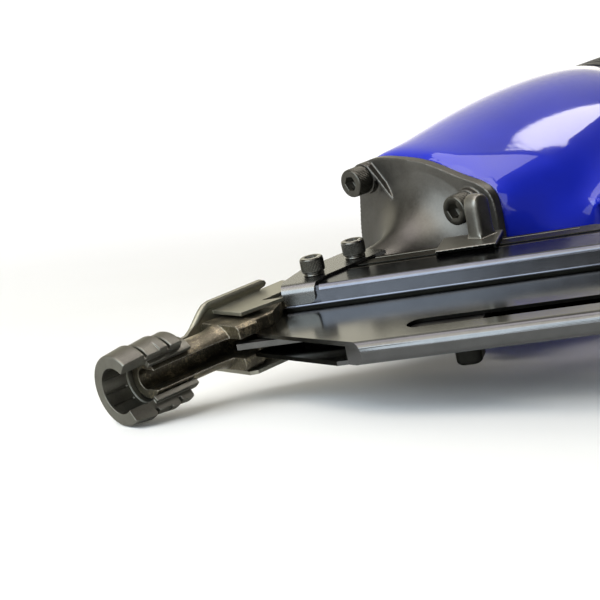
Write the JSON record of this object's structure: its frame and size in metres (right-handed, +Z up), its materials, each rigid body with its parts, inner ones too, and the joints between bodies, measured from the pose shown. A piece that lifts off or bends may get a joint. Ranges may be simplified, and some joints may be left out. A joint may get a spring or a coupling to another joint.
{
  "type": "pneumatic framing nailer",
  "caption": "Air-powered framing nail gun lying on its side: slotted contact nose, angled stick magazine, bulbous housing with cap, pistol handle with trigger, air plug and swivel hook.",
  "frame": {"origin": "on the floor under the middle of the tool as it lies on its side, z = 0 at the lowest point", "axes": "+X along the driver axis from the nose towards the cap (levelled to the floor), +Y from the handle end towards the barrel's far side, +Z up"},
  "size_m": [0.3588, 0.3938, 0.1267],
  "materials": {
    "blue_paint": "gloss",
    "black_casting": "satin",
    "grey_casting": "satin",
    "gunmetal": "satin",
    "bronze_steel": "satin",
    "cast_steel": "matte",
    "black_anodised": "satin",
    "blade_sheet": "satin",
    "black_oxide": "satin",
    "brown_oxide": "satin",
    "bright_steel": "satin",
    "spring_steel": "satin",
    "zinc_steel": "satin",
    "machined_aluminium": "satin",
    "black_rubber": "matte",
    "black_plastic": "matte"
  },
  "bodies": {
    "tool": {"contact_spring": "spring_steel", "driver_guide": "cast_steel", "nose_flange": "grey_casting", "nose_bolts": "black_oxide", "feed_cover": "bronze_steel", "feed_cover_screws": "black_oxide", "feed_cover_washers": "zinc_steel", "magazine_rail": "black_anodised", "magazine_spine": "black_anodised", "magazine_blade": "blade_sheet", "magazine_end_cap": "black_plastic", "magazine_bracket": "brown_oxide", "housing": "blue_paint", "cylinder_sleeve": "machined_aluminium", "sleeve_seal": "black_rubber", "bumper": "black_rubber", "head_valve_spring": "spring_steel", "cylinder_cap": "black_casting", "cap_gasket": "black_rubber", "cap_screws": "black_oxide", "piston_stop": "black_rubber", "deflector_screw": "black_oxide", "trigger_pin": "bright_steel", "trigger_spring": "spring_steel", "valve_body": "machined_aluminium", "valve_orings": "black_rubber", "valve_spring": "spring_steel", "handle_grip": "black_rubber", "handle_gasket": "black_rubber", "handle_end_cap": "black_casting", "end_cap_screws": "black_oxide", "air_plug": "zinc_steel", "rear_bracket": "brown_oxide", "bracket_bolt": "black_oxide", "bracket_nut": "zinc_steel"},
    "contact": {"contact_tip": "gunmetal", "contact_arm": "bronze_steel", "contact_link": "bronze_steel"},
    "trigger": {"trigger": "black_casting", "rocker_pin": "bright_steel"},
    "rocker": {"trigger_rocker": "bronze_steel"},
    "valve": {"valve_stem": "bright_steel"},
    "drive": {"piston": "machined_aluminium", "piston_ring": "spring_steel", "driver_blade": "bright_steel"},
    "head_valve_body": {"head_valve": "black_plastic", "head_valve_seal": "black_rubber"},
    "pusher_body": {"pusher": "bright_steel", "pusher_knob": "black_plastic", "pusher_spring": "spring_steel"},
    "deflector": {"exhaust_deflector": "black_plastic"},
    "hook": {"rafter_hook": "zinc_steel"}
  },
  "joints": [
    {"name": "contact_slide", "type": "slide", "parent": "tool", "child": "contact", "axis": [0.9849, 0, 0.1734], "range_m": [0, 0.0085], "stiffness_N_per_m": 600, "springref_m": -0.015, "deforming": ["contact_spring"]},
    {"name": "trigger_pivot", "type": "hinge", "parent": "tool", "child": "trigger", "pos_m": [0.04337, 0.06725, 0.054], "axis": [-0.1733, 0.0154, 0.9847], "range_deg": [0, 12], "stiffness_Nm_per_rad": 0.8, "springref_deg": -20.05, "deforming": ["trigger_spring"]},
    {"name": "rocker_pivot", "type": "hinge", "parent": "trigger", "child": "rocker", "pos_m": [0.05214, 0.03225, 0.05609], "axis": [0.1733, -0.0154, -0.9847], "range_deg": [0, 8.01]},
    {"name": "valve_slide", "type": "slide", "parent": "tool", "child": "valve", "axis": [0.9849, 0, 0.1734], "range_m": [0, 0.00366], "deforming": ["valve_spring"]},
    {"name": "drive_slide", "type": "slide", "parent": "tool", "child": "drive", "axis": [-0.9849, 0, -0.1734], "range_m": [0, 0.087]},
    {"name": "head_valve_slide", "type": "slide", "parent": "tool", "child": "head_valve_body", "axis": [0.9849, 0, 0.1734], "range_m": [0, 0.007], "stiffness_N_per_m": 2000, "springref_m": -0.005, "deforming": ["head_valve_spring"]},
    {"name": "pusher_slide", "type": "slide", "parent": "tool", "child": "pusher_body", "axis": [0.5485, -0.8289, 0.1095], "range_m": [0, 0.16], "stiffness_N_per_m": 20, "springref_m": -0.4},
    {"name": "deflector_turn", "type": "hinge", "parent": "tool", "child": "deflector", "pos_m": [0.16765, 0.13724, 0.07478], "axis": [0.9849, 0, 0.1734], "continuous": true},
    {"name": "hook_swivel", "type": "hinge", "parent": "tool", "child": "hook", "pos_m": [0.11304, -0.13695, 0.06946], "axis": [-0.1733, 0.0154, 0.9847], "range_deg": [-90, 90]}
  ],
  "couplings": [
    {"joint": "rocker_pivot", "follows": "contact_slide", "rad_per_m": 16.427},
    {"joint": "valve_slide", "follows": "trigger_pivot", "m_per_rad": 0.017189}
  ]
}
